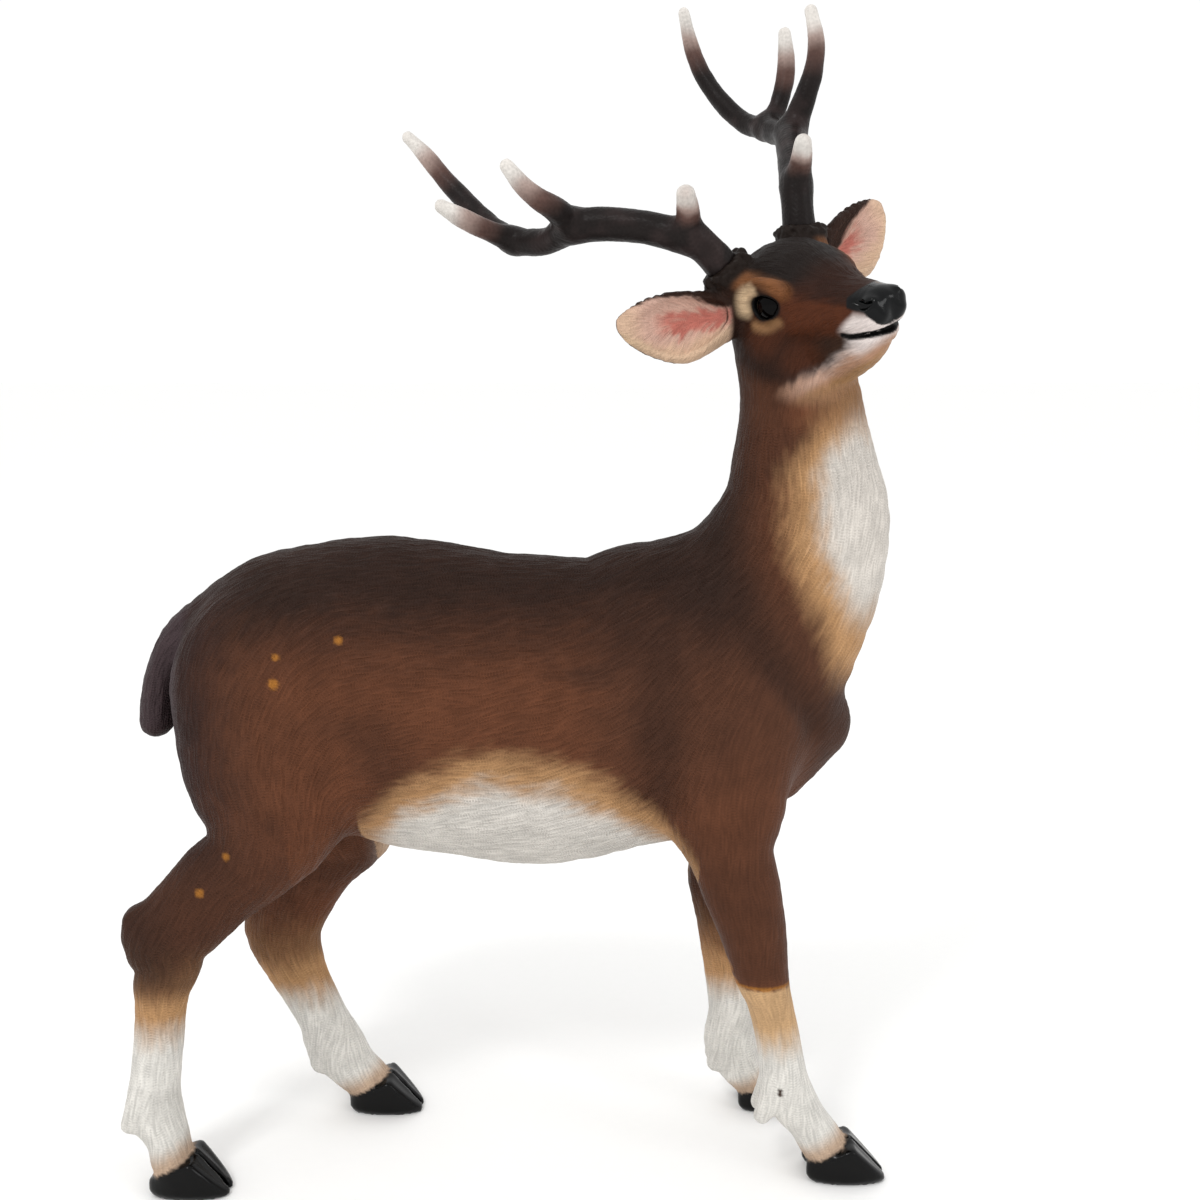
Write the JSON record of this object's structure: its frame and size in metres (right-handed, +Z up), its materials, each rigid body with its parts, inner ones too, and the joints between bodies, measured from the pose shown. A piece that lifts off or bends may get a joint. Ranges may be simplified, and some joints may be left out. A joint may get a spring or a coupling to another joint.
{
  "type": "deer figurine",
  "caption": "Standing stag figurine in painted resin with carved fur, cloven hooves, head turned over its right shoulder and two branched antlers.",
  "frame": {"origin": "on the ground, under the middle of the figurine's bounding box", "axes": "+Z up, +X the way the stag's body faces, +Y to the stag's left"},
  "size_m": [0.3806, 0.2076, 0.6053],
  "materials": {
    "painted_resin": "painted resin, carved fur, satin",
    "antler_resin": "painted resin, dark with pale tips, satin"
  },
  "bodies": {
    "root": {"deer_body": "painted_resin", "antler_left": "antler_resin", "antler_right": "antler_resin"}
  },
  "joints": []
}
